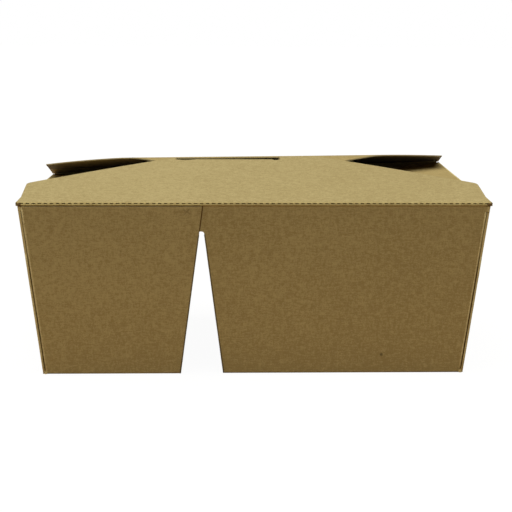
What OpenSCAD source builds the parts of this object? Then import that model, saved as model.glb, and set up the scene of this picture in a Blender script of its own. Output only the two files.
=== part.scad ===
// Two-compartment takeaway box, folded from one die-cut sheet of kraft board.
// The front faces -Y, X runs along the length, and the base stands on Z = 0.
// Each panel is a flat sheet of board, turned up about its fold line.
// The front lid flap is a piece of its own, because it turns about the perforated front fold.

/* [Box] */
// Length of the two lid folds
rim_w = 200; // [180:1:230]
// How far the lid folds reach past each end wall
lid_over = 0.9; // [0.6:0.1:1.5]
// Depth from the front lid fold to the rear lid fold
rim_d = 140; // [125:1:160]
// Height of the front lid fold above the table
box_h = 75; // [67:1:90]
// How far every wall leans out between the base and the rim
wall_spread = 8.5; // [6:0.5:12]
// Thickness of the board
board_t = 0.5; // [0.4:0.05:0.7]
// Bevel of the folds round each base
base_bevel = 0.6; // [0.4:0.05:0.7]

/* [Racking] */
// Height of the rear left rim corner above the front lid fold
rear_left_rise = -1.4; // [-3:0.2:1]
// Height of the rear right rim corner above the front lid fold
rear_right_rise = 5.2; // [0:0.2:6]

/* [Divider] */
// Distance of the divider ridge from the middle of the box, to the left
ridge_offset = 22.5; // [10:0.5:30]
// Height of the divider ridge above the table
ridge_h = 72; // [66:1:72]
// Half the width of the gap between the tubs at the base
gap_foot = 9.4; // [8:0.1:11]
// Depth of the strip that joins the two tubs under each lid fold
bridge_h = 12; // [11:0.5:14]
// Radius of the round end of the gap between the tubs
gap_end_r = 1.1; // [0.8:0.1:1.3]
// Distance of the small tub's glued panel edge below the lid fold
panel_drop = 0.7; // [0.5:0.1:2]

/* [Corner webs] */
// Length of the crease that halves a web corner
web_crease = 54; // [40:1:58]
// Open pocket between the two layers of a folded web
web_pocket = 0.65; // [0.4:0.05:1]
// Distance of a folded web's top corner below the rim fold
web_drop = 2; // [1.5:0.5:5]

/* [End flaps] */
// Length of the end flaps that lie under the lid
end_flap_len = 58; // [45:1:60]
// Angle of the end flaps' slanted sides
end_flap_angle = 40; // [38:1:44]
// Distance of the end folds below the lid folds
end_fold_drop = 0.6; // [0.4:0.1:1]
// Corner relief between an end flap and the lid folds
end_flap_relief = 4; // [3:0.5:8]
// Corner radius of the flaps
flap_corner_r = 4; // [2:0.5:6]

/* [Front flap] */
// Length of the front flap past its tab's bend
front_lap = 6; // [5:0.5:8]
// How far the front flap's end edges stand in from the ends of its fold
flap_inset = 1.3; // [0.8:0.1:2]
// Length over which the front flap's end edges flare out to the ends of its fold
flap_ear = 8; // [5:1:10]
// Straight part of a lid flap's end edge
flap_end_edge = 27.5; // [24:0.5:32]
// Angle of a lid flap's slanted edges
flap_edge_angle = 36; // [34:0.5:38]
// Slope of the front flap at its fold, rise over run
front_slope = 0.195; // [0.17:0.005:0.21]
// Fall of the front flap's slope over a metre of its length
front_bow = 0.8; // [0:0.1:1]

/* [Perforated fold] */
// Pitch of the cuts along the front lid fold
perf_pitch = 2.5; // [2:0.1:4]
// Uncut board between two cuts
perf_nick = 1; // [0.6:0.1:1.2]
// Depth of each cut into the flap
perf_depth = 0.45; // [0.3:0.05:0.6]
// Gap between the front flap and the wall at the fold
fold_gap = 0.3; // [0.25:0.05:0.4]

/* [Locking tab] */
// Width of the locking tab
tab_w = 35; // [28:1:36]
// Distance of the tab from the middle of the box, to the left
tab_offset = 7.5; // [6:0.5:8]
// Distance of the tab's bend behind the middle of the box
tab_past_middle = 1; // [0:0.5:2]
// Length of the tab below the slit
tab_len = 9; // [6:0.5:10]
// Clearance in front of the tab and behind it in its slit
tab_clear = 0.35; // [0.3:0.05:0.5]
// Length of the slit left open beside the tab, on the left
slit_spare_left = 10; // [6:0.5:11]
// Length of the slit left open beside the tab, on the right
slit_spare_right = 3.5; // [2:0.5:5]
// Depth of the notches in the front flap beside the tab
slit_notch = 1.3; // [0.8:0.1:1.6]
// Clearance between the lid flaps where one lies on the other
lay_clear = 0.35; // [0.3:0.05:0.6]

/* [Rear flap] */
// Length of the rear flap in front of the tab's bend
rear_lap = 7; // [5:0.5:9]
// Slope of the rear flap at its fold, rise over run
rear_slope = 0.245; // [0.23:0.005:0.26]
// Fall of the rear flap's slope over a metre of its length
rear_bow = 2.2; // [1.8:0.1:2.6]
// How far the rear flap's right-hand edge leans in over its straight part
rear_lean_in = 3; // [0:0.5:4]
// Tilt of the rear flap that is left at its ridge, rise over run
ridge_tilt = 0.012; // [0:0.001:0.02]
// Length of the board that rides up behind the slit
lifted_len = 10; // [8:0.5:12]
// Height of the lifted board over the front flap at the slit
slit_lift = 0.8; // [0.6:0.05:1]

/* [Hidden] */

kraft = "#b5a873";
kraft_lid = "#b2a56f";
// Fineness of round edges and of the bowed flaps
edge_fn = 16;
sheet_columns = 6;
end_rows = 4;
slant_rows = 12;
bow_steps = 12;
tab_steps = 6;
// Length over which the rear flap's ridge is rounded
ridge_softness = 0.6;
// Width of the closed strip along a web's crease
crease_w = 1.2;
// Overlap of two sheets that share a fold
fold_lap = 0.15;
// Side gap of the lifted board behind the slit
lift_side_gap = 0.1;
// Depth over which a long wall's shoulder covers the tip of a web
web_lap = 1;
// Reach of a cut past the surface it opens
cut_margin = 1;
metre = 1000;

half_w = rim_w / 2;
half_d = rim_d / 2;
tub_half_w = half_w - lid_over;
base_z = board_t / 2;
wall_rise = box_h - base_z;
lean = atan(wall_spread / wall_rise);
lean_run = tan(lean);
wall_len = wall_rise / cos(lean);
ridge_x = -ridge_offset;
ridge_rise = ridge_h - base_z;
wall_slant = wall_spread / wall_len;
divider_lean = atan(gap_foot / ridge_rise);
divider_slant = lean_run * cos(divider_lean);
gap_slant = gap_foot * cos(lean) / ridge_rise;
ridge_v = ridge_rise / cos(divider_lean) + board_t / 2;
crease_angle = 45 - 2 * atan(wall_slant);
base_half_w = tub_half_w - wall_spread;
base_half_d = half_d - wall_spread;
glued_step = board_t - 0.02;
// Half the depth of the large tub's base and of the small one's, whose panels lie outside
small_half_d = base_half_d + glued_step / cos(lean);
pocket_step = 2 * board_t + web_pocket;
lid_edge_run = tan(flap_edge_angle);
tab_reach = half_d + tab_past_middle;
front_flap_len = tab_reach + front_lap;
rear_flap_len = rim_d - tab_reach + rear_lap;
tab_mid_x = -tab_offset;
// Ends of the slit along X
slit_left = tab_mid_x - tab_w / 2 - slit_spare_left;
slit_right = tab_mid_x + tab_w / 2 + slit_spare_right;
slit_mid_x = (slit_left + slit_right) / 2;

// Height of a rim fold at the rear, by its place along X
function rear_rise(x) = rear_left_rise + (rear_right_rise - rear_left_rise) * (x + half_w) / rim_w;
// Distance up a leaning wall for a height above the table
function up_wall(z) = (z - base_z) / cos(lean);
// Place of the rear fold along Y, by its place along X
function rear_fold_y(x) = half_d + rear_rise(x) * lean_run;
// Height of the front flap's middle layer above its fold, by the distance behind it
function front_z(d) = front_slope * d - front_bow * d * d / 2 / metre;
// Smooth minimum of two heights
function soft_min(a, b, w) = (a + b - sqrt((a - b) * (a - b) + w * w)) / 2;
// Tilt of the rear flap along X, which fades from its fold to its ridge
function rear_tilt(d) =
    let (fold_tilt = (rear_right_rise - rear_left_rise) / rim_w)
    fold_tilt + (ridge_tilt - fold_tilt) * min(1, d / (rim_d - tab_reach - lifted_len));
// Height of the rear flap's middle layer above the front fold, by its place and the distance from its own fold
function rear_z(x, d) =
    let (own = (rear_left_rise + rear_right_rise) / 2 + rear_slope * d - rear_bow * d * d / 2 / metre)
    let (under_front = front_z(rim_d - d) - board_t - lay_clear)
    soft_min(own + rear_tilt(d) * x, under_front, ridge_softness);

// Half the width of a lid flap at a distance from its fold
function lid_half_w(d) = half_w - max(0, d - flap_end_edge) / lid_edge_run;
// How far the rear flap's right-hand edge leans in at a distance from its fold
function lean_in(d) =
    rear_lean_in * min(d / flap_end_edge, (rear_flap_len - d) / (rear_flap_len - flap_end_edge));

// Distance of the tab's middle layer from the front fold
tab_radius = norm([tab_reach, front_z(tab_reach)]);
// Places of the slit's two edges behind the front fold
slit_front = tab_reach - board_t / 2 - tab_clear;
slit_rear = tab_reach + board_t / 2 + tab_clear;

// Points of a closed outline whose corners [x, y, r] are rounded by radius r
function unit(v) = v / norm(v);
function fillet(a, b, c, r, steps = 5) =
    let (u = unit(a - b), w = unit(c - b), half = acos(u * w) / 2)
    let (centre = b + unit(u + w) * r / sin(half), from = b + u * r / tan(half), to = b + w * r / tan(half))
    let (a0 = atan2(from.y - centre.y, from.x - centre.x), a1 = atan2(to.y - centre.y, to.x - centre.x))
    let (sweep = ((a1 - a0 + 540) % 360) - 180)
    [for (i = [0 : steps]) centre + r * [cos(a0 + sweep * i / steps), sin(a0 + sweep * i / steps)]];
function rounded(corners) = [
    for (i = [0 : len(corners) - 1])
        let (n = len(corners), b = corners[i], a = corners[(i + n - 1) % n], c = corners[(i + 1) % n])
        let (b2 = [b.x, b.y], a2 = [a.x, a.y], c2 = [c.x, c.y])
        each (b[2] > 0 ? fillet(a2, b2, c2, b[2]) : [b2])
];

// A sheet of board laid evenly about the plane of its outline
module sheet(t = board_t) {
    translate([0, 0, -t / 2]) linear_extrude(t) children();
}

// A wall sheet that leans out over the base edge at distance out; its outline is drawn along X and up the slope
module leaning_wall(out, t = board_t, tilt = lean) {
    translate([0, -out, base_z]) rotate([90 + tilt, 0, 0]) sheet(t) children();
}

// The same wall turned to stand at the right-hand end
module end_wall_place(out, t = board_t, tilt = lean) {
    rotate([0, 0, 90]) leaning_wall(out, t, tilt) children();
}

// Outline of the gap between the tubs, in the plane of a long wall
module gap_outline() {
    end_v = up_wall(box_h - bridge_h) - gap_end_r;
    end_half = gap_foot - end_v * gap_slant;
    polygon([
        [ridge_x - gap_foot, 0], [ridge_x - gap_foot, -cut_margin],
        [ridge_x + gap_foot, -cut_margin], [ridge_x + gap_foot, 0],
        [ridge_x + end_half, end_v], [ridge_x - end_half, end_v]
    ]);
    translate([ridge_x, end_v]) circle(r = gap_end_r, $fn = 12);
}

// Large tub's long wall with the strip that bridges to the small tub; its top heights are given at the two ends
module large_wall_outline(top_left, top_right) {
    side_x = base_half_w - (pocket_step - board_t / 2) / cos(lean);
    left_v = up_wall(top_left) - web_drop - web_lap;
    right_v = up_wall(top_right) - web_drop - web_lap;
    edge_x = tub_half_w - fold_lap;
    strip_v = up_wall(box_h - bridge_h);
    difference() {
        polygon([
            [ridge_x, 0], [side_x, 0], [side_x + wall_slant * right_v, right_v],
            [edge_x, right_v], [edge_x, up_wall(top_right)],
            [-edge_x, up_wall(top_left)], [-edge_x, left_v],
            [-side_x - wall_slant * left_v, left_v],
            [-side_x - wall_slant * strip_v, strip_v], [ridge_x, strip_v]
        ]);
        gap_outline();
    }
}

// Small tub's long wall, glued over the strip
module small_wall_outline(top_left, top_right) {
    side_x = -base_half_w + (pocket_step - board_t / 2) / cos(lean);
    left_v = up_wall(top_left) - panel_drop;
    right_v = up_wall(top_left + (top_right - top_left) * (half_w + ridge_x) / rim_w) - panel_drop;
    polygon([
        [side_x, 0], [ridge_x - gap_foot, 0],
        [ridge_x - gap_foot + gap_slant * right_v, right_v],
        [side_x - wall_slant * left_v, left_v]
    ]);
}

// The long walls of the front; the rear has the same ones mirrored
module long_walls(top_left, top_right) {
    leaning_wall(base_half_d) large_wall_outline(top_left, top_right);
    leaning_wall(small_half_d) small_wall_outline(top_left, top_right);
}

// Outline of a wall that runs from front to rear, with half its base's length and its heights at both ends
module cross_wall_outline(reach, front_v, rear_v, slant = wall_slant) {
    polygon([
        [-reach, 0], [reach, 0], [reach + slant * rear_v, rear_v], [-reach - slant * front_v, front_v]
    ]);
}

// Triangle of a web corner folded flat against its wall, with the wall's corner on the left
module web_outline(reach, top_v) {
    polygon([
        [-reach, 0],
        [-reach + web_crease * sin(crease_angle), web_crease * cos(crease_angle)],
        [-reach - wall_slant * top_v, top_v]
    ]);
}

// Narrow strip along a web's crease
module crease_outline(reach) {
    polygon([
        [board_t - reach, 0],
        [web_crease * sin(crease_angle) - reach, web_crease * cos(crease_angle)],
        [web_crease * sin(crease_angle) - crease_w - reach, web_crease * cos(crease_angle) - board_t],
        [-crease_w - reach, 0]
    ]);
}

// The two layers of one web corner and the crease that joins them, by half its tub's depth and its rim's height
module folded_web(reach, rim_z) {
    top_v = up_wall(rim_z) - web_drop;
    end_wall_place(base_half_w - glued_step / cos(lean)) web_outline(reach, top_v);
    end_wall_place(base_half_w - pocket_step / cos(lean)) web_outline(reach, top_v);
    end_wall_place(base_half_w - (glued_step + pocket_step) / 2 / cos(lean), pocket_step - glued_step)
        crease_outline(reach);
}

// End wall that stands to the right, with its two webs, its fold and its flap
module box_end(reach, front_top, rear_top) {
    end_wall_place(base_half_w)
        cross_wall_outline(reach, up_wall(box_h - end_fold_drop), up_wall(rear_top - end_fold_drop));
    folded_web(reach, front_top);
    mirror([0, 1, 0]) folded_web(reach, rear_top);
    end_flap(rear_top);
}

// Floor of one tub between two places along X, with half its depth
module tub_floor(from_x, to_x, reach) {
    translate([from_x - base_z, -reach - base_z, 0])
        cube([to_x - from_x + board_t, 2 * reach + board_t, board_t]);
}

// Cuts that bevel the folds round one base between two places along X, with half its depth
module base_bevels(from_x, to_x, reach) {
    side = base_bevel * sqrt(2);
    span_x = to_x - from_x + board_t;
    span_y = 2 * reach + board_t;
    for (x = [from_x - base_z, to_x + base_z])
        translate([x, 0, 0]) rotate([0, 45, 0]) cube([side, span_y + cut_margin, side], center = true);
    for (y = [-reach - base_z, reach + base_z])
        translate([(from_x + to_x) / 2, y, 0]) rotate([45, 0, 0])
            cube([span_x + cut_margin, side, side], center = true);
}

// End flap at the right-hand end, hinged on a fold that climbs from the front to the rear
module end_flap(rear_top) {
    fold_z = box_h - end_fold_drop;
    climb = atan((rear_top - box_h) / rim_d);
    tip = end_flap_relief + end_flap_len * tan(end_flap_angle);
    translate([tub_half_w - end_fold_drop * lean_run, -half_d, fold_z]) rotate([climb, 0, 0])
        sheet() polygon(rounded([
            [board_t / 2, end_flap_relief, 0], [board_t / 2, rim_d - end_flap_relief, 0],
            [-end_flap_len, rim_d - tip, flap_corner_r], [-end_flap_len, tip, flap_corner_r]
        ]));
}

// Outline of the front flap from its fold at y = 0, with slanted edges that run to its free edge
module lid_flap_outline(reach, corner_r) {
    end_x = half_w - flap_inset;
    corner_y = flap_end_edge + flap_inset * lid_edge_run;
    polygon(rounded([
        [-half_w, 0, 0], [half_w, 0, 0], [end_x, flap_ear, 0], [end_x, corner_y, corner_r],
        [lid_half_w(reach), reach, corner_r], [-lid_half_w(reach), reach, corner_r],
        [-end_x, corner_y, corner_r], [-end_x, flap_ear, 0]
    ]));
}

// Rear flap as a bowed and slightly twisted sheet, laid out in rows from its fold to its free edge
module rear_flap_sheet() {
    rows = concat(
        [-board_t / 2 - fold_lap],
        [for (i = [0 : end_rows]) flap_end_edge * i / end_rows],
        [for (i = [1 : slant_rows]) flap_end_edge + (rear_flap_len - flap_end_edge) * i / slant_rows]
    );
    nx = sheet_columns;
    ny = len(rows) - 1;
    layer = (nx + 1) * (ny + 1);
    points = [
        for (side = [-1, 1]) for (i = [0 : nx]) for (d = rows)
            let (x = lid_half_w(d) * (2 * i / nx - 1) - max(0, lean_in(d)) * i / nx)
            [x, rear_fold_y(x) - d, box_h + rear_z(x, d) + side * board_t / 2]
    ];
    function at(side, i, j) = side * layer + i * (ny + 1) + j;
    // Each quad goes round counter-clockwise as seen from inside
    function quad(a, b, c, d) = [[a, b, c], [a, c, d]];
    faces = concat(
        [for (i = [0 : nx - 1]) for (j = [0 : ny - 1]) each concat(
            quad(at(0, i, j), at(0, i, j + 1), at(0, i + 1, j + 1), at(0, i + 1, j)),
            quad(at(1, i, j), at(1, i + 1, j), at(1, i + 1, j + 1), at(1, i, j + 1))
        )],
        [for (i = [0 : nx - 1]) each concat(
            quad(at(0, i, 0), at(0, i + 1, 0), at(1, i + 1, 0), at(1, i, 0)),
            quad(at(0, i, ny), at(1, i, ny), at(1, i + 1, ny), at(0, i + 1, ny))
        )],
        [for (j = [0 : ny - 1]) each concat(
            quad(at(0, 0, j), at(1, 0, j), at(1, 0, j + 1), at(0, 0, j + 1)),
            quad(at(0, nx, j), at(0, nx, j + 1), at(1, nx, j + 1), at(1, nx, j))
        )]
    );
    polyhedron(points, faces);
}

// Rear flap with its slit, and the board behind the slit that rides up over the tab
module rear_flap() {
    lifted_rear = slit_rear + lifted_len;
    lift_z = front_z(tab_reach) + slit_lift;
    join_z = rear_z(slit_mid_x, rim_d - lifted_rear);
    difference() {
        rear_flap_sheet();
        translate([slit_left, slit_front - half_d, box_h])
            cube([slit_right - slit_left, lifted_rear - slit_front - cut_margin, wall_len]);
    }
    lifted_w = slit_right - slit_left - 2 * lift_side_gap;
    translate([slit_mid_x, -half_d, box_h + join_z]) rotate([0, -atan(ridge_tilt), 0])
        translate([-lifted_w / 2, 0, -join_z]) rotate([90, 0, 90]) linear_extrude(lifted_w) polygon([
            [slit_rear, lift_z - board_t / 2], [lifted_rear, join_z - board_t / 2],
            [lifted_rear, join_z + board_t / 2], [slit_rear, lift_z + board_t / 2]
        ]);
}

// The fixed part of the folded sheet: both tubs, the strips, the end flaps and the rear flap
module carton() color(kraft) {
    rear_left = box_h + rear_rise(-tub_half_w);
    rear_right = box_h + rear_rise(tub_half_w);
    front_top = box_h - board_t / 2 - fold_gap;

    difference() {
        union() {
            tub_floor(-base_half_w, ridge_x - gap_foot, small_half_d);
            tub_floor(ridge_x + gap_foot, base_half_w, base_half_d);
            long_walls(front_top, front_top);
            mirror([0, 1, 0]) long_walls(rear_left, rear_right);

            box_end(base_half_d, front_top, rear_right);
            mirror([1, 0, 0]) box_end(small_half_d, front_top, rear_left);

            end_wall_place(ridge_x - gap_foot, tilt = divider_lean)
                cross_wall_outline(small_half_d, ridge_v, ridge_v, divider_slant);
            mirror([1, 0, 0]) end_wall_place(-ridge_x - gap_foot, tilt = divider_lean)
                cross_wall_outline(base_half_d, ridge_v, ridge_v, divider_slant);
        }
        base_bevels(-base_half_w, ridge_x - gap_foot, small_half_d);
        base_bevels(ridge_x + gap_foot, base_half_w, base_half_d);
    }
    rear_flap();
}

// Front lid flap, bowed, with the cuts of its perforated fold and its bent locking tab
module front_flap() color(kraft_lid) {
    translate([0, -half_d, box_h]) {
        difference() {
            intersection() {
                translate([-half_w, 0, 0]) rotate([90, 0, 90]) linear_extrude(rim_w) front_flap_profile();
                translate([0, 0, -board_t]) linear_extrude(wall_len) front_flap_outline();
            }
            perforation_cuts();
        }
        locking_tab();
    }
}

// Section of the front flap from its round fold edge to its free edge
module front_flap_profile() {
    upper = [for (i = [0 : bow_steps]) let (d = front_flap_len * i / bow_steps) [d, front_z(d) + board_t / 2]];
    lower = [for (i = [bow_steps : -1 : 0]) let (d = front_flap_len * i / bow_steps) [d, front_z(d) - board_t / 2]];
    polygon(concat(upper, lower));
    circle(d = board_t, $fn = edge_fn);
}

// Front flap outline, cut back to the tab's bend where the tab is
module front_flap_outline() {
    difference() {
        union() {
            lid_flap_outline(front_flap_len, flap_corner_r);
            translate([-half_w, -board_t]) square([rim_w, 2 * board_t]);
        }
        translate([slit_left - lay_clear, tab_reach])
            square([slit_right - slit_left + 2 * lay_clear, front_flap_len]);
        slit_notch_outline(slit_left - lay_clear, tab_mid_x - tab_w / 2);
        slit_notch_outline(tab_mid_x + tab_w / 2, slit_right + lay_clear);
    }
}

// Shallow notch in the front flap's bend where the slit is left open
module slit_notch_outline(from_x, to_x) {
    width = to_x - from_x;
    polygon([
        [from_x, tab_reach + cut_margin], [from_x, tab_reach], [from_x + width * 0.3, tab_reach - slit_notch],
        [from_x + width * 0.6, tab_reach - slit_notch], [to_x, tab_reach], [to_x, tab_reach + cut_margin]
    ]);
}

// Row of short cuts along the fold edge
module perforation_cuts() {
    cut_len = perf_pitch - perf_nick;
    count = floor((rim_w - perf_nick) / perf_pitch);
    first_x = -(count * perf_pitch - perf_nick) / 2;
    translate([0, 0, -board_t]) linear_extrude(2 * board_t)
        for (i = [0 : count - 1])
            translate([first_x + i * perf_pitch, -board_t]) square([cut_len, board_t - board_t / 2 + perf_depth]);
}

// Tab that goes down through the slit along a circle about the front fold
module locking_tab() {
    start_angle = atan2(front_z(tab_reach), tab_reach);
    end_angle = start_angle - tab_len / tab_radius * 180 / PI;
    function arc_angle(i) = start_angle + (end_angle - start_angle) * i / tab_steps;
    outer = [for (i = [0 : tab_steps]) let (a = arc_angle(i)) (tab_radius + board_t / 2) * [cos(a), sin(a)]];
    inner = [for (i = [tab_steps : -1 : 0]) let (a = arc_angle(i)) (tab_radius - board_t / 2) * [cos(a), sin(a)]];
    translate([tab_mid_x - tab_w / 2, 0, 0]) rotate([90, 0, 90])
        linear_extrude(tab_w) {
            polygon(concat(outer, inner));
            translate([tab_reach, front_z(tab_reach)]) circle(d = board_t, $fn = edge_fn);
        }
}

carton();
front_flap();
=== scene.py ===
"""Looks of a two-compartment takeaway box of kraft board, laid out as an add-on and run as a script."""

import math
import random

import bmesh
import bpy
from bpy.props import FloatProperty, FloatVectorProperty, PointerProperty
from mathutils import Matrix, Vector


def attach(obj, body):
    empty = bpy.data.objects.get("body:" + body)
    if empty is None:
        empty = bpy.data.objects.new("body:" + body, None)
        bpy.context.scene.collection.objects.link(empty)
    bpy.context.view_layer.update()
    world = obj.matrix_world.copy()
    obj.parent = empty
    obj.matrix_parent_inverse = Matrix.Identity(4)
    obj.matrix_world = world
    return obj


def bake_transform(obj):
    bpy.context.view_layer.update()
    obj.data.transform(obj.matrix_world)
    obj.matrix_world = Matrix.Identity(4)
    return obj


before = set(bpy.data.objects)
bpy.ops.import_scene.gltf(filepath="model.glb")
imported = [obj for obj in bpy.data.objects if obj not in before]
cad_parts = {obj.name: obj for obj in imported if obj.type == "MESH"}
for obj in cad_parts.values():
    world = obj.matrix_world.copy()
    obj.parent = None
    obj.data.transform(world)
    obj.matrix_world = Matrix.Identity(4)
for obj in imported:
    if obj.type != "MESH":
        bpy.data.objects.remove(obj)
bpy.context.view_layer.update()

bl_info = {
    "name": "Takeaway Box",
    "version": (1, 0, 0),
    "blender": (4, 5, 0),
    "location": "View3D > Sidebar > Box",
    "description": "Board finish, worked folds, cut edges and stage for a kraft takeaway box",
    "category": "Object",
}

MM = 0.001

# Places of the folded sheet, in millimetres, as the construction gives them
HALF_W = 100.0
TUB_HALF_W = 99.1
HALF_D = 70.0
BASE_HALF_W = 90.6
BASE_HALF_D = 61.5
SMALL_HALF_D = 61.983
FOLD_Z = 75.0
BOARD = 0.5
BASE_Z = BOARD / 2
LEAN = (HALF_D - BASE_HALF_D) / (FOLD_Z - BASE_Z)
RIDGE_X = -22.5
RIDGE_Z = 72.0
GAP_FOOT = 9.4
GAP_TOP = 61.6
GAP_SLOPE = GAP_FOOT / (RIDGE_Z - BASE_Z)
PANEL_SIDE_X = 89.19
PANEL_TOP = 73.75
REAR_LEFT_RISE = -1.4
REAR_RIGHT_RISE = 5.2

# Creases, in millimetres
BASE_CREASE_Z = 0.85
BASE_CREASE_IN = 0.2
CORNER_CREASE_IN = 0.12
CORNER_CREASE_FOOT = 0.6
CORNER_CREASE_END = 20.0
RIGHT_CREASE_END = 3.6
LEFT_CREASE_END = 2.0
RIM_CREASE_DROP = 0.6
RIM_CREASE_END = 4.5
LID_CREASE_END = 0.4
CREASE_STEP = 6.0

# Crease beads: height of the lowest over the table and size at a bead's ends, as multiples of its radius
BEAD_LIFT = 1.06
BEAD_END = 0.45
BEAD_WANDER = 0.05
BEAD_SIDES = 10

# Cuts of the perforated fold, in millimetres, and how much their lengths vary
CUT_PITCH = 2.5
CUT_LEN = 1.5
CUT_COUNT = 79
CUT_SPREAD = (0.9, 1.06)

# Rolled section of that fold, as Y and Z from wall to lid flap, and its rows that the cuts take out
CUT_ROWS = range(5, 8)
ROLL_PUFF = 0.02
ROLL_INSET = 0.1
ROLL_FOOT_Z = 74.72
ROLL_SECTION = (
    (-70.16, 73.95), (-70.32, 74.08), (-70.47, 74.22), (-70.54, 74.38), (-70.48, 74.56), (-70.35, 74.84),
    (-70.3, 75.0), (-70.25, 75.13), (-70.14, 75.25), (-69.98, 75.3), (-69.65, 75.345), (-69.2, 75.4),
)

# Grain of the board, as noise scale per millimetre, detail and roughness, and how its fibres are drawn out
GRAIN = (2.0, 3.0, 0.6)
FIBRE = (1.2, 2.0, 0.5)
STRAND = (1.1, 2.0, 0.5)
MOTTLE = (0.3, 2.0, 0.5)
CLOUD = (0.034, 2.0, 0.5)
ALONG = (0.35, 1.0, 1.3)
UPRIGHT = (1.0, 1.0, 0.35)

# Shares of grain, fibre, strand and mottle in the board's tone and in its relief
TONE_SHARES = (2.3, 1.5, 1.2, 0.5)
RELIEF_SHARES = (0.6, 0.25, 0.25, 0.5)

# Spans in millimetres over which the tone fades along the box, as painted light that pales the left end, and
# at its foot, as painted shade, the latter with their shares
LEFT_LIGHT_SPAN = (-95.0, 95.0)
FOOT_SHADE_SPANS = ((2.0, 45.0, 0.7), (0.0, 14.0, 0.5))

# Flecks, as scale and edge of their cells, and scale and edge of the patches that they keep to
DARK_FLECK = (0.24, (0.03, 0.085), 0.13, (0.5, 0.62))
STRAW = (0.5, (0.05, 0.12), 0.2, (0.5, 0.65))

# Marks on the board, and spots of painted shade in the corner holes, as place and reach in millimetres
SCUFF = ((-28.7, -69.9, 71.5), 2.3)
SCUFF_STROKES = ((0.55, 0.0, 0.83), (0.75, 0.0, -0.66))
SCUFF_WIDTH = 0.36
SPECKS = (((55.1, -62.7, 8.3), 1.0), ((-56.6, -67.9, 54.5), 0.8))
CORNER_HOLE_SHADE_SPOTS = (((98.5, -70.45, 74.55), 1.3), ((99.8, -70.1, 74.9), 0.9))

# Painted highlights: pale strips beside the front and rear panels, by their start and end in millimetres out
# of the side fold
OUTER_HIGHLIGHT = (0.82, 2.5)
UPPER_HIGHLIGHT = (0.3, 0.9)

# Painted shade in the slots there, by their span, and the heights over which it fades in and out
SLOT_SHADE = {"span": (0.28, 0.8), "foot": (1.0, 2.0), "top": (46.0, 60.0)}
RIGHT_SLOT_SHADE = {"span": (0.75, 0.98), "foot": (3.0, 8.0), "top": (36.0, 50.0)}

# Shades of the board's colours on single pieces and marks
# Painted shade: the walls' copy of the board is warmer and a little darker than the lid's, for their look in
# shade
WALL_PAINTED_SHADE = (0.98, 0.94, 0.86)
# Painted highlight on the crease beads
CREASE_HIGHLIGHT = (1.45, 1.5, 1.6)
# Painted shade on the crease beads at the gap between the tubs
GAP_CREASE_PAINTED_SHADE = (0.42, 0.4, 0.38)
ROLL_SHADE = (1.1, 1.08, 0.94)
# Painted shade on the underside of the rear lid flap
UNDER_WING_SHADE = (0.42, 0.38, 0.34)
# Colour of the painted shade in gaps, slots, cuts and holes
GAP_SHADE = (0.3, 0.2, 0.08)

# Stage, with turns in degrees and places and sizes in millimetres
TOP_LIGHT_SPREAD = 90
TOP_LIGHT_TURN = (10, -6, 0)
SIDE_LIGHT_PLACE = (900.0, 0.0, 55.0)
SIDE_LIGHT_SIZE = (90.0, 600.0)
FLOOR_HALF = 12000.0
FLOOR_GLOW = 1.03
FLOOR_GLOW_SHARE = 0.93
FAR_FLOOR = (0.02, 0.018, 0.014)
BOUNCE_REACH = 550.0
CAMERA_PLACE = (-19.369, -648.963, 146.412)
CAMERA_HEADING = -1.952
CAMERA_DIP = 9.186
CAMERA_ROLL = 0.263


def wall_out(z):
    """How far a wall has leaned out at a height."""
    return LEAN * (z - BASE_Z)


def gap_half(z):
    """Half the width of the gap between the tubs at a height."""
    return GAP_FOOT * (1 - (z - BASE_Z) / (RIDGE_Z - BASE_Z))


def rear_rise(x):
    """Height of the racked rear rim over the front fold."""
    return REAR_LEFT_RISE + (REAR_RIGHT_RISE - REAR_LEFT_RISE) * (x + HALF_W) / (2 * HALF_W)


def rgba(colour, shade=(1.0, 1.0, 1.0)):
    """Colour for a socket, each part times its shade, or all of them times one number."""
    shades = shade if isinstance(shade, tuple) else (shade,) * 3
    return (*(part * share for part, share in zip(colour, shades)), 1.0)


# Shader maths


class Value:
    """A shader socket that takes part in Python arithmetic."""

    def __init__(self, finish, socket):
        self.finish = finish
        self.socket = socket

    def _maths(self, operation, first, second=0.0, clamp=False):
        settings = {"operation": operation, "use_clamp": clamp}
        return self.finish.node("ShaderNodeMath", settings, {0: first, 1: second})

    def __add__(self, other):
        return self._maths("ADD", self, other)

    __radd__ = __add__

    def __sub__(self, other):
        return self._maths("SUBTRACT", self, other)

    def __rsub__(self, other):
        return self._maths("SUBTRACT", other, self)

    def __mul__(self, other):
        return self._maths("MULTIPLY", self, other)

    __rmul__ = __mul__

    def above(self, start, end):
        """0 below start, 1 above end, and a smooth step between them."""
        settings = {"interpolation_type": "SMOOTHSTEP"}
        sockets = {"Value": self, "From Min": start, "From Max": end, "To Min": 0.0, "To Max": 1.0}
        return self.finish.node("ShaderNodeMapRange", settings, sockets)

    def below(self, start, end):
        """1 below start, 0 above end, and a smooth step between them."""
        return 1 - self.above(start, end)

    def clamped(self):
        return self._maths("ADD", self, 0.0, clamp=True)

    def size(self):
        return self._maths("ABSOLUTE", self)


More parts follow.
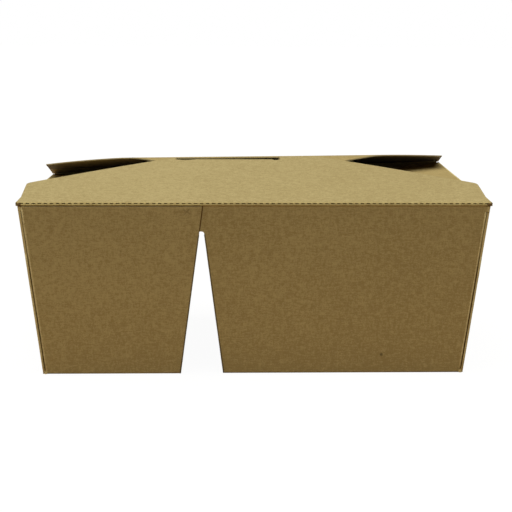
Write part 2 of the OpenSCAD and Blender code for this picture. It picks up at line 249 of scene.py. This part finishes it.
class Finish:
    """Node tree of a new material, or of the world."""

    def __init__(self, owner):
        self.owner = owner
        owner.use_nodes = True
        self.tree = owner.node_tree
        self.tree.nodes.clear()

    def node(self, kind, settings, sockets, output=0):
        """Adds a node, its settings before the values or links of its sockets, and gives its output."""
        made = self.tree.nodes.new(kind)
        for name, setting in settings.items():
            setattr(made, name, setting)
        for name, given in sockets.items():
            if isinstance(given, Value):
                self.tree.links.new(given.socket, made.inputs[name])
            else:
                made.inputs[name].default_value = given
        return Value(self, made.outputs[output]) if len(made.outputs) else None

    def vector(self, operation, sockets, output="Vector"):
        """Vector maths; output "Value" is for an operation that gives a number."""
        return self.node("ShaderNodeVectorMath", {"operation": operation}, sockets, output)

    def place(self, stretch=(1.0, 1.0, 1.0)):
        """Place on the object in millimetres, drawn out along an axis where its stretch is under 1."""
        where = self.node("ShaderNodeTexCoord", {}, {}, "Object")
        return self.vector("MULTIPLY", {0: where, 1: [part / MM for part in stretch]})

    def axes(self, where):
        """The three parts of a place."""
        ways = ((1.0, 0.0, 0.0), (0.0, 1.0, 0.0), (0.0, 0.0, 1.0))
        return [self.vector("DOT_PRODUCT", {0: where, 1: way}, "Value") for way in ways]

    def noise(self, where, scale, detail=2.0, roughness=0.5):
        sockets = {"Vector": where, "Scale": scale, "Detail": detail, "Roughness": roughness}
        return self.node("ShaderNodeTexNoise", {"noise_dimensions": "3D"}, sockets)

    def cells(self, where, scale):
        """Distance to the nearest of many scattered points."""
        settings = {"voronoi_dimensions": "3D", "feature": "F1"}
        return self.node("ShaderNodeTexVoronoi", settings, {"Vector": where, "Scale": scale})

    def blend(self, share, first, second):
        """Colour that goes from the first to the second as share goes from 0 to 1."""
        settings = {"data_type": "RGBA", "blend_type": "MIX", "clamp_factor": True}
        return self.node("ShaderNodeMix", settings, {0: share, 6: first, 7: second}, 2)

    def mix(self, share, first, second):
        """Shader that goes from the first to the second as share goes from 0 to 1."""
        return self.node("ShaderNodeMixShader", {}, {0: share, 1: first, 2: second})

    def bump(self, height, strength, distance):
        sockets = {"Height": height, "Strength": strength, "Distance": distance}
        return self.node("ShaderNodeBump", {}, sockets)

    def surface(self, shader, output="ShaderNodeOutputMaterial"):
        """Ends the tree with its shader, and gives back the material or world."""
        self.node(output, {}, {"Surface": shader})
        return self.owner


# Marks, painted shade and painted highlights


def scuff_mark(finish, where):
    """Small crossed scuff on the small panel."""
    centre, reach = SCUFF
    away = finish.vector("SUBTRACT", {0: where, 1: centre})
    near = finish.vector("LENGTH", {0: away}, "Value").below(reach * 0.6, reach)
    across = [finish.vector("DOT_PRODUCT", {0: away, 1: slant}, "Value") for slant in SCUFF_STROKES]
    strokes = sum(part.size().below(SCUFF_WIDTH * 0.4, SCUFF_WIDTH) for part in across)
    return strokes.clamped() * near


def round_spot(finish, where, centre, reach):
    """Round spot at a place in millimetres, that fades out at its reach."""
    away = finish.vector("DISTANCE", {0: where, 1: centre}, "Value")
    return away.below(reach * 0.3, reach)


def corner_hole_shade(finish, where):
    """Painted shade in the little holes where the perforated fold ends at the front corners."""
    return sum(
        round_spot(finish, where, (side * x, y, z), reach)
        for (x, y, z), reach in CORNER_HOLE_SHADE_SPOTS
        for side in (-1, 1)
    ).clamped()


def fold_shade(finish, where):
    """Shade under the rolled fold, where no panel lies over the wall, with the corner holes."""
    x, _, z = finish.axes(where)
    roll = (z - ROLL_FOOT_Z).size().below(0.14, 0.34) * x.above(RIDGE_X - 1.0, RIDGE_X + 4.0) * 0.3
    return (roll + corner_hole_shade(finish, where)).clamped()


def cut_row_shade(finish, where):
    """Painted shade on the faces inside the short cuts of the perforated fold, and in the corner holes."""
    _, y, _ = finish.axes(where)
    return (y.below(-69.76, -69.68) + corner_hole_shade(finish, where)).clamped()


def beside_panel(x, y, z, start, end):
    """Upright strip beside the front and rear panels, from start to end out of the side fold."""
    out = x.size() - PANEL_SIDE_X - (z - BASE_Z) * LEAN
    strip = out.above(start - 0.05, start + 0.05) * out.below(end - 0.05, end + 0.05)
    return strip * y.size().above(57.0, 59.0)


def panel_slot_shade(x, y, z, span, foot, top):
    """Painted shade in the slot beside the panels, between the heights where it fades in and out."""
    return beside_panel(x, y, z, *span) * z.below(*top) * z.above(*foot)


def layer_gap_shade(finish, where):
    """Painted shade: dark lines at the glued small panel's top and side, in the slots beside the panels, and
    in the corner holes.
    """
    x, y, z = finish.axes(where)
    over = (z - (PANEL_TOP + 0.12)).size().below(0.12, 0.26)
    top = over * x.below(RIDGE_X + 0.3, RIDGE_X + 0.7) * x.above(-98.6, -98.0)
    level = 66.0
    beside = (x - (RIDGE_X - gap_half(level) + 0.2) - (z - level) * GAP_SLOPE).size()
    side = beside.below(0.14, 0.32) * z.above(62.0, 62.6) * z.below(PANEL_TOP, PANEL_TOP + 0.3)
    panel = (top + side).clamped() * y.below(-69.0, -66.5)
    slots = panel_slot_shade(x, y, z, **SLOT_SHADE) + panel_slot_shade(x, y, z, **RIGHT_SLOT_SHADE) * x.above(0.0, 1.0)
    return (panel + slots + corner_hole_shade(finish, where)).clamped()


def painted_edge_highlights(finish, where):
    """Painted highlights: paler board along the folded corners and at the small panel's cut top, and painted
    light under the perforated fold where the roll shades the wall.
    """
    x, y, z = finish.axes(where)
    outermost = (y.size() - (z - BASE_Z) * LEAN).above(60.7, 61.1)
    outer = beside_panel(x, y, z, *OUTER_HIGHLIGHT)
    upper = beside_panel(x, y, z, *UPPER_HIGHLIGHT) * z.above(52.0, 62.0) * 0.5
    under_fold = z.above(72.5, 73.7) * x.above(RIDGE_X + 1.0, RIDGE_X + 2.5) * 0.35
    lip = (z - (PANEL_TOP - 0.55)).size().below(0.15, 0.35) * x.below(RIDGE_X - 0.5, RIDGE_X + 0.3) * 0.2
    return (outer + upper + under_fold + lip).clamped() * outermost


def wear_and_highlights(finish, where, board, colour):
    """Colour with the box's scuff and specks, and painted highlights along the edges."""
    colour = finish.blend(scuff_mark(finish, where) * 0.45, colour, rgba(board.dark, 0.5))
    for centre, reach in SPECKS:
        colour = finish.blend(round_spot(finish, where, centre, reach) * 0.85, colour, rgba(board.dark, 0.4))
    # Painted highlights along the folded edges
    return finish.blend(painted_edge_highlights(finish, where) * 0.75, colour, rgba(board.light, 1.45))


# Finishes


def flecks(finish, place, where, cell_scale, cell_edge, patch_scale, patch_edge):
    """Scattered flecks that keep to soft patches of the board."""
    patches = finish.noise(where, patch_scale, 1.0).above(*patch_edge)
    return finish.cells(place, cell_scale).below(*cell_edge) * patches


def kraft_finish(name, board, shade=1.0, contrast=1.0, marks_and_highlights=None, gap_shade_mask=None):
    """Uncoated kraft board: mottled pulp, short fibres, dark and light flecks and a fine tooth."""
    finish = Finish(bpy.data.materials.new(name))
    where = finish.place()
    along = finish.place(ALONG)
    x, _, z = finish.axes(where)

    def sized(place, scale, detail, roughness):
        return finish.noise(place, scale / board.grain_size, detail, roughness)

    grain = sized(where, *GRAIN)
    fibre = sized(along, *FIBRE)
    strand = sized(finish.place(UPRIGHT), *STRAND)
    layers = (grain, fibre, strand, finish.noise(where, *MOTTLE))
    cloud = finish.noise(where, *CLOUD)
    fine = sum((layer - 0.5) * share for layer, share in zip(layers, TONE_SHARES))
    tone = 0.5 + board.grain * contrast * fine + board.clouding * (cloud - 0.5)
    # Painted light: paler towards the left end, as if lit from the left
    tone = tone + board.fade * (x.below(*LEFT_LIGHT_SPAN) - 0.5)
    # Painted shade: darker towards the foot of the walls, near the floor
    tone = tone - board.foot * sum(z.below(start, end) * share for start, end, share in FOOT_SHADE_SPANS)
    colour = finish.blend(tone.clamped(), rgba(board.dark, shade), rgba(board.light, shade))

    colour = finish.blend(flecks(finish, where, where, *DARK_FLECK) * 0.55, colour, rgba(board.dark, 0.45))
    colour = finish.blend(flecks(finish, along, where, *STRAW) * 0.4, colour, rgba(board.light, 1.25))
    # Scuff and specks, with painted highlights along the edges
    if marks_and_highlights:
        colour = marks_and_highlights(finish, where, board, colour)
    # Painted shade in gaps, slots, cuts, holes and under the rolled fold
    if gap_shade_mask:
        colour = finish.blend(gap_shade_mask(finish, where) * 0.95, colour, rgba(board.dark, GAP_SHADE))

    height = sum(layer * share for layer, share in zip(layers, RELIEF_SHARES))
    sockets = {
        "Base Color": colour,
        "Roughness": 0.8 + (grain - 0.5) * 0.16,
        "Specular IOR Level": 0.28,
        "Normal": finish.bump(height, board.tooth, 0.12 * MM),
    }
    return finish.surface(finish.node("ShaderNodeBsdfPrincipled", {}, sockets))


def core_finish(name, board):
    """Raw cut edge of the board: paler pulp with fine layers."""
    finish = Finish(bpy.data.materials.new(name))
    layers = finish.noise(finish.place((0.25, 0.25, 2.4)), 1.6, 2.0, 0.6)
    fuzz = finish.noise(finish.place(), 1.9, 3.0, 0.6)
    tone = (0.5 + (layers - 0.5) * 1.2 + (fuzz - 0.5) * 1.3).clamped()
    sockets = {
        "Base Color": finish.blend(tone, rgba(board.core, 0.82), rgba(board.core, 1.12)),
        "Roughness": 0.9 + (fuzz - 0.5) * 0.1,
        "Specular IOR Level": 0.2,
        "Normal": finish.bump(fuzz * 0.6 + layers * 0.4, 0.5, 0.1 * MM),
    }
    return finish.surface(finish.node("ShaderNodeBsdfPrincipled", {}, sockets))


def floor_finish(stage):
    """Pale floor that looks nearly white, and gives the box a dim warm light from close by."""
    finish = Finish(bpy.data.materials.new("pale_floor"))
    where = finish.place()
    paint = finish.node("ShaderNodeBsdfDiffuse", {}, {"Color": rgba(stage.floor_colour)})
    glow = finish.node("ShaderNodeEmission", {}, {"Color": (1, 1, 1, 1), "Strength": FLOOR_GLOW})
    bright = finish.mix(FLOOR_GLOW_SHARE, paint, glow)
    tooth = finish.bump(finish.noise(where, 0.4), 0.1, MM)
    far = finish.node("ShaderNodeBsdfDiffuse", {}, {"Color": rgba(FAR_FLOOR), "Normal": tooth})
    near = finish.node("ShaderNodeBsdfDiffuse", {}, {"Color": rgba(stage.floor_bounce), "Normal": tooth})
    bounce = finish.mix(round_spot(finish, where, (0.0, 0.0, 0.0), BOUNCE_REACH), far, near)
    seen = finish.node("ShaderNodeLightPath", {}, {}, "Is Camera Ray")
    mirrored = finish.node("ShaderNodeLightPath", {}, {}, "Is Glossy Ray")
    return finish.surface(finish.mix((seen + mirrored).clamped(), bounce, bright))


def room_finish(stage):
    """White surround that gives the box only a little light."""
    finish = Finish(bpy.data.worlds.new("white_room"))
    seen = finish.node("ShaderNodeLightPath", {}, {}, "Is Camera Ray")
    room = finish.node(
        "ShaderNodeBackground", {}, {"Color": rgba(stage.room_colour), "Strength": stage.room_light}
    )
    white = finish.node("ShaderNodeBackground", {}, {"Color": (1, 1, 1, 1), "Strength": 1.0})
    return finish.surface(finish.mix(seen, room, white), "ShaderNodeOutputWorld")


# Meshes


def object_from(name, mesh_maker, material):
    """Object at the origin whose mesh is made in millimetres."""
    work = bmesh.new()
    mesh_maker(work)
    if not work.faces:
        raise RuntimeError(f"{name} has no faces")
    bmesh.ops.recalc_face_normals(work, faces=work.faces)
    mesh = bpy.data.meshes.new(name)
    bmesh.ops.transform(work, matrix=Matrix.Scale(MM, 4), verts=work.verts)
    work.to_mesh(mesh)
    work.free()
    mesh.materials.append(material)
    piece = bpy.data.objects.new(name, mesh)
    bpy.context.scene.collection.objects.link(piece)
    return piece


def smooth(piece):
    for polygon in piece.data.polygons:
        polygon.use_smooth = True


def add_bead(work, path, radius, dice):
    """Thin round bead along a path, with rounded ends and a slightly uneven thickness."""
    off_path = Vector((0.31, 0.52, 0.79))
    last = len(path) - 1
    ways = [(path[min(index + 1, last)] - path[max(index - 1, 0)]).normalized() for index in range(last + 1)]
    stations = [(path[0] - ways[0] * radius * 0.5, ways[0], BEAD_END)]
    stations += [(point, way, 1.0) for point, way in zip(path, ways)]
    stations.append((path[-1] + ways[-1] * radius * 0.5, ways[-1], BEAD_END))
    rings = []
    for point, way, share in stations:
        side = way.cross(off_path).normalized()
        up = way.cross(side)
        swell = 1.0 + dice.uniform(-BEAD_WANDER, BEAD_WANDER)
        ring = []
        for step in range(BEAD_SIDES):
            turn = 2 * math.pi * step / BEAD_SIDES
            offset = side * math.cos(turn) + up * math.sin(turn)
            ring.append(work.verts.new(point + offset * radius * share * swell))
        rings.append(ring)
    for low, high in zip(rings, rings[1:]):
        for step in range(BEAD_SIDES):
            after = (step + 1) % BEAD_SIDES
            work.faces.new((low[step], low[after], high[after], high[step]))
    work.faces.new(rings[0][::-1])
    work.faces.new(rings[-1])


def between(start, end, count):
    """Evenly spaced points from start to end."""
    a, b = Vector(start), Vector(end)
    return [a.lerp(b, index / count) for index in range(count + 1)]


def panel_point(x, z, half_d=BASE_HALF_D, side=-1):
    """Point in the middle layer of a front or rear wall."""
    return (x, side * (half_d + wall_out(z)), z)


def wall_creases(where, side, low):
    """Creases of the front or rear wall, by name; low is their lowest height."""
    rise_right, rise_left = (rear_rise(TUB_HALF_W), rear_rise(-TUB_HALF_W)) if side > 0 else (0.0, 0.0)
    top_right = FOLD_Z + rise_right - RIGHT_CREASE_END
    top_left = FOLD_Z + rise_left - LEFT_CREASE_END
    lines = {
        where + "_right_side": (
            panel_point(PANEL_SIDE_X, low, side=side),
            panel_point(PANEL_SIDE_X + wall_out(top_right), top_right, side=side),
        )
    }
    for name, sign, half_d, top in (
        ("right", 1, BASE_HALF_D, top_right),
        ("left", -1, SMALL_HALF_D, top_left),
    ):
        lines[f"{where}_{name}_corner"] = tuple(
            panel_point(sign * (BASE_HALF_W - CORNER_CREASE_IN + wall_out(z)), z, half_d, side)
            for z in (low + CORNER_CREASE_FOOT, top - CORNER_CREASE_END)
        )
    lines[where + "_left_side"] = (
        panel_point(-PANEL_SIDE_X, low, SMALL_HALF_D, side),
        panel_point(-PANEL_SIDE_X - wall_out(top_left), top_left, SMALL_HALF_D, side),
    )
    for name, half_d, ends in (
        ("large", BASE_HALF_D, (RIDGE_X + GAP_FOOT, PANEL_SIDE_X)),
        ("small", SMALL_HALF_D, (-PANEL_SIDE_X, RIDGE_X - GAP_FOOT)),
    ):
        lines[f"{where}_{name}_base"] = tuple(
            panel_point(x, BASE_CREASE_Z, half_d - BASE_CREASE_IN, side) for x in ends
        )
    for name, sign, half_d in (("right", 1, BASE_HALF_D), ("left", -1, SMALL_HALF_D)):
        lines[f"{where}_gap_{name}"] = (
            panel_point(RIDGE_X + sign * GAP_FOOT, low, half_d, side),
            panel_point(RIDGE_X + sign * gap_half(GAP_TOP), GAP_TOP, half_d, side),
        )
    return lines


def fold_lines(low):
    """Middle lines of the folds that show as rounded creases, by name; low is the height of the lowest."""
    lines = {**wall_creases("front", -1, low), **wall_creases("rear", 1, low)}
    for name, side, half_d in (("right", 1, BASE_HALF_D), ("left", -1, SMALL_HALF_D)):
        x = side * BASE_HALF_W
        lines[name + "_base"] = ((x, -half_d, low), (x, half_d, low))
        rim_x = side * (TUB_HALF_W - RIM_CREASE_DROP * LEAN)
        climb = rear_rise(side * TUB_HALF_W) / (2 * HALF_D)
        lines[name + "_rim"] = tuple(
            (rim_x, y, FOLD_Z - RIM_CREASE_DROP + climb * (y + HALF_D))
            for y in (RIM_CREASE_END - HALF_D, HALF_D - RIM_CREASE_END)
        )
        foot = RIDGE_X + side * GAP_FOOT
        lines[name + "_divider_base"] = ((foot, -half_d, low), (foot, half_d, low))
    lines["rear_lid"] = tuple(
        (x, HALF_D + rear_rise(x) * LEAN, FOLD_Z + rear_rise(x))
        for x in (LID_CREASE_END - HALF_W, HALF_W - LID_CREASE_END)
    )
    return lines


def faces_of(node, wanted):
    """Faces of a node that pass the test, as corner points in millimetres with the normal."""
    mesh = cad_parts[node].data
    chosen = []
    for polygon in mesh.polygons:
        corners = [mesh.vertices[index].co / MM for index in polygon.vertices]
        centre = sum(corners, Vector()) / len(corners)
        if wanted(centre, polygon.normal):
            chosen.append((corners, polygon.normal.copy()))
    return chosen


def add_skin(work, faces, lift=0.02):
    """Thin skin a little proud of the faces it covers."""
    for corners, normal in faces:
        work.faces.new([work.verts.new(corner + normal * lift) for corner in corners])
    bmesh.ops.remove_doubles(work, verts=work.verts, dist=0.004)


# Settings


class BoardSettings(bpy.types.PropertyGroup):
    """Colours and grain of the board."""

    light: FloatVectorProperty(
        name="Light pulp", description="Paler colour of the board", subtype="COLOR",
        default=(0.515, 0.42, 0.195),
    )
    dark: FloatVectorProperty(
        name="Dark pulp", description="Darker colour of the board", subtype="COLOR",
        default=(0.385, 0.297, 0.124),
    )
    core: FloatVectorProperty(
        name="Cut edge", description="Colour of the raw cut edges", subtype="COLOR",
        default=(0.5, 0.415, 0.21),
    )
    grain_size: FloatProperty(name="Grain size", description="Size of the grain, as a multiple", default=1.0)
    grain: FloatProperty(name="Grain", description="Contrast of the grain", default=1.35)
    # Painted light: the left end paler, as if lit from the left
    fade: FloatProperty(name="Fade", description="How much paler the left end is than the right", default=0.2)
    # Painted shade: the foot of the walls darker, near the floor
    foot: FloatProperty(name="Foot", description="How much darker the foot of the walls is", default=0.28)
    clouding: FloatProperty(name="Clouding", description="Contrast of the wide soft patches", default=0.45)
    tooth: FloatProperty(name="Tooth", description="Strength of the surface's fine relief", default=0.35)


class FoldSettings(bpy.types.PropertyGroup):
    """Sizes of the worked folds."""

    bead: FloatProperty(
        name="Crease bead", description="Radius of the rounded creases",
        default=0.00042, unit="LENGTH", precision=5,
    )
    skin: FloatProperty(
        name="Fold skin", description="Thickness of the rolled fold",
        default=0.00012, unit="LENGTH", precision=5,
    )


class StageSettings(bpy.types.PropertyGroup):
    """Light, floor and camera."""

    top_light: FloatProperty(
        name="Top light", description="Strength of the soft light from above", default=3.2
    )
    top_colour: FloatVectorProperty(
        name="Top colour", description="Colour of the light from above", subtype="COLOR",
        default=(1.0, 0.975, 0.91),
    )
    room_light: FloatProperty(name="Room light", description="Strength of the light all round", default=0.01)
    room_colour: FloatVectorProperty(
        name="Room colour", description="Colour of the light all round", subtype="COLOR",
        default=(1.0, 0.92, 0.8),
    )
    side_light: FloatProperty(name="Side light", description="Watts of each lamp beside the box", default=0.8)
    floor_colour: FloatVectorProperty(
        name="Floor colour", description="Colour of the pale floor", subtype="COLOR", default=(0.9, 0.9, 0.9)
    )
    floor_bounce: FloatVectorProperty(
        name="Floor bounce", description="Colour of the floor's light on the box", subtype="COLOR",
        default=(0.4, 0.27, 0.15),
    )
    lens: FloatProperty(name="Lens", description="Focal length in millimetres", default=97.91)


SETTINGS = {"takeaway_board": BoardSettings, "takeaway_folds": FoldSettings, "takeaway_stage": StageSettings}


# Operators


class TAKEAWAY_OT_board(bpy.types.Operator):
    """Gives the folded sheet and its lid flap their kraft finish"""

    bl_idname = "takeaway.board"
    bl_label = "Board finish"

    def execute(self, context):
        board = context.scene.takeaway_board
        finishes = {
            "carton": kraft_finish("kraft_board", board, WALL_PAINTED_SHADE, marks_and_highlights=wear_and_highlights, gap_shade_mask=layer_gap_shade),
            "front_flap": kraft_finish("kraft_board_lid", board, contrast=0.9, gap_shade_mask=cut_row_shade),
        }
        for node, material in finishes.items():
            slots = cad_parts[node].material_slots
            if not slots:
                raise RuntimeError(f"{node} has no material slot")
            for held in slots:
                held.material = material
        return {"FINISHED"}


class TAKEAWAY_OT_creases(bpy.types.Operator):
    """Adds the rounded creases along the folds, paler as a painted highlight, and darker ones at the gap
    between the tubs as painted shade
    """

    bl_idname = "takeaway.creases"
    bl_label = "Creases"

    def execute(self, context):
        board = context.scene.takeaway_board
        radius = context.scene.takeaway_folds.bead / MM
        dice = random.Random(7)
        lines = fold_lines(radius * BEAD_LIFT)
        gap_lines = [lines.pop(name) for name in list(lines) if "_gap_" in name]
        pieces = (
            ("creases", lines.values(), radius, CREASE_HIGHLIGHT),
            ("gap_crease_shade", gap_lines, radius * 0.9, GAP_CREASE_PAINTED_SHADE),
        )
        for name, creases, size, shade in pieces:

            def beads(work):
                for start, end in creases:
                    count = max(2, int((Vector(end) - Vector(start)).length / CREASE_STEP))
                    add_bead(work, between(start, end, count), size, dice)

            piece = object_from(name, beads, kraft_finish("kraft_" + name, board, shade))
            smooth(piece)
            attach(piece, "carton")
        return {"FINISHED"}


class TAKEAWAY_OT_fold(bpy.types.Operator):
    """Adds the rolled board of the perforated fold, with its row of cuts"""

    bl_idname = "takeaway.fold"
    bl_label = "Perforated fold"

    def execute(self, context):
        skin = context.scene.takeaway_folds.skin / MM
        dice = random.Random(11)

        def rolled(work):
            places = [ROLL_INSET - HALF_W]
            for index in range(CUT_COUNT):
                middle = (index - (CUT_COUNT - 1) / 2) * CUT_PITCH
                half = CUT_LEN / 2 * dice.uniform(*CUT_SPREAD)
                places += [middle - half, middle + half]
            places.append(HALF_W - ROLL_INSET)
            last_row = len(ROLL_SECTION) - 1
            columns = []
            for x in places:
                puff = dice.uniform(-ROLL_PUFF, ROLL_PUFF)
                columns.append([
                    work.verts.new((x, y - puff * (0 < row < last_row), z))
                    for row, (y, z) in enumerate(ROLL_SECTION)
                ])
            for index, (left, right) in enumerate(zip(columns, columns[1:])):
                is_cut = index % 2 == 1
                for row in range(last_row):
                    if not (is_cut and row in CUT_ROWS):
                        work.faces.new((left[row], right[row], right[row + 1], left[row + 1]))
            bmesh.ops.recalc_face_normals(work, faces=work.faces)
            if work.faces[:][0].normal.y > 0:
                bmesh.ops.reverse_faces(work, faces=work.faces)
            bmesh.ops.solidify(work, geom=work.faces[:], thickness=skin)

        finish = kraft_finish("kraft_fold", context.scene.takeaway_board, ROLL_SHADE, gap_shade_mask=fold_shade)
        piece = object_from("rolled_fold", rolled, finish)
        smooth(piece)
        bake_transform(piece)
        return {"FINISHED"}


class TAKEAWAY_OT_edges(bpy.types.Operator):
    """Adds the paler skin of the board's cut edges"""

    bl_idname = "takeaway.edges"
    bl_label = "Cut edges"

    def execute(self, context):
        finish = core_finish("kraft_core", context.scene.takeaway_board)

        def lid_edge(centre, normal):
            """Steep narrow face at the rim of a lid flap."""
            return centre.z > FOLD_Z + 0.6 and abs(normal.z) < 0.45 and centre.y < HALF_D - 2.0

        def panel_edge(centre, normal):
            """Cut top of the glued small panel."""
            on_panel = centre.y < 1.0 - HALF_D and centre.x < RIDGE_X + 6.0
            return on_panel and abs(centre.z - PANEL_TOP) < 0.45 and normal.z > 0.8

        rear = faces_of("carton", lambda c, n: lid_edge(c, n) or panel_edge(c, n))
        front = faces_of("front_flap", lambda c, n: lid_edge(c, n) and c.y < -2.0)
        for name, faces, body in (("box_cut_edges", rear, "carton"), ("lid_cut_edges", front, "front_flap")):
            piece = object_from(name, lambda work: add_skin(work, faces), finish)
            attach(piece, body)
        return {"FINISHED"}


class TAKEAWAY_OT_under_wing_shade(bpy.types.Operator):
    """Adds a dark skin of painted shade on the underside of the rear lid flap, seen under its free corners"""

    bl_idname = "takeaway.liner"
    bl_label = "Under-wing shade"

    def execute(self, context):
        # Painted shade: a darker copy of the board on the rear flap's underside
        finish = kraft_finish("kraft_under_wing_shade", context.scene.takeaway_board, UNDER_WING_SHADE)
        faces = faces_of("carton", lambda c, n: c.z > FOLD_Z + 2.5 and n.z < -0.8 and abs(c.x) < HALF_W - 1.0)
        piece = object_from("under_wing_shade_skin", lambda work: add_skin(work, faces), finish)
        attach(piece, "carton")
        return {"FINISHED"}


class TAKEAWAY_OT_stage(bpy.types.Operator):
    """Lays the floor and sets the lights, the white surround and the camera"""

    bl_idname = "takeaway.stage"
    bl_label = "Stage"

    def execute(self, context):
        stage = context.scene.takeaway_stage
        self.lay_floor(stage)
        self.set_lights(context, stage)
        self.set_camera(context, stage)
        context.scene.view_settings.view_transform = "Standard"
        return {"FINISHED"}

    def lay_floor(self, stage):
        def floor(work):
            bmesh.ops.create_grid(work, x_segments=4, y_segments=4, size=FLOOR_HALF)

        piece = object_from("floor", floor, floor_finish(stage))

    def set_lights(self, context, stage):
        sun = bpy.data.lights.new("top_light", "SUN")
        sun.energy = stage.top_light
        sun.color = stage.top_colour
        sun.angle = math.radians(TOP_LIGHT_SPREAD)
        lamp = bpy.data.objects.new("top_light", sun)
        lamp.rotation_euler = [math.radians(turn) for turn in TOP_LIGHT_TURN]
        context.scene.collection.objects.link(lamp)

        for side in (-1, 1):
            panel = bpy.data.lights.new("side_light", "AREA")
            panel.energy = stage.side_light
            panel.shape = "RECTANGLE"
            panel.size, panel.size_y = (part * MM for part in SIDE_LIGHT_SIZE)
            lamp = bpy.data.objects.new("side_light", panel)
            x, y, z = (part * MM for part in SIDE_LIGHT_PLACE)
            lamp.location = (side * x, y, z)
            lamp.rotation_euler = (0, math.radians(side * 90), 0)
            context.scene.collection.objects.link(lamp)
        context.scene.world = room_finish(stage)

    def set_camera(self, context, stage):
        data = bpy.data.cameras.new("camera")
        data.sensor_width = 36.0
        data.lens = stage.lens
        data.clip_start = 0.01
        data.clip_end = 100.0
        camera = bpy.data.objects.new("camera", data)
        turn = Matrix.Rotation(math.radians(CAMERA_HEADING), 4, "Z")
        turn = turn @ Matrix.Rotation(math.radians(90 - CAMERA_DIP), 4, "X")
        turn = turn @ Matrix.Rotation(math.radians(CAMERA_ROLL), 4, "Z")
        camera.matrix_world = Matrix.Translation(Vector(CAMERA_PLACE) * MM) @ turn
        context.scene.collection.objects.link(camera)
        context.scene.camera = camera


OPERATORS = (
    TAKEAWAY_OT_board,
    TAKEAWAY_OT_creases,
    TAKEAWAY_OT_fold,
    TAKEAWAY_OT_edges,
    TAKEAWAY_OT_under_wing_shade,
    TAKEAWAY_OT_stage,
)


class TAKEAWAY_PT_box(bpy.types.Panel):
    """Panel that lists the box's settings and steps"""

    bl_idname = "TAKEAWAY_PT_box"
    bl_label = "Takeaway Box"
    bl_space_type = "VIEW_3D"
    bl_region_type = "UI"
    bl_category = "Box"

    def draw(self, context):
        for name, group in SETTINGS.items():
            column = self.layout.column(align=True)
            column.label(text=group.__doc__)
            for prop in group.__annotations__:
                column.prop(getattr(context.scene, name), prop)
        for operator in OPERATORS:
            self.layout.operator(operator.bl_idname)


CLASSES = (*SETTINGS.values(), *OPERATORS, TAKEAWAY_PT_box)


def register():
    for each in CLASSES:
        bpy.utils.register_class(each)
    for name, group in SETTINGS.items():
        setattr(bpy.types.Scene, name, PointerProperty(type=group))


def unregister():
    for name in SETTINGS:
        delattr(bpy.types.Scene, name)
    for each in reversed(CLASSES):
        bpy.utils.unregister_class(each)


def main():
    register()
    bpy.ops.takeaway.board()
    bpy.ops.takeaway.creases()
    bpy.ops.takeaway.fold()
    bpy.ops.takeaway.edges()
    bpy.ops.takeaway.liner()
    bpy.ops.takeaway.stage()


if __name__ == "__main__":
    main()
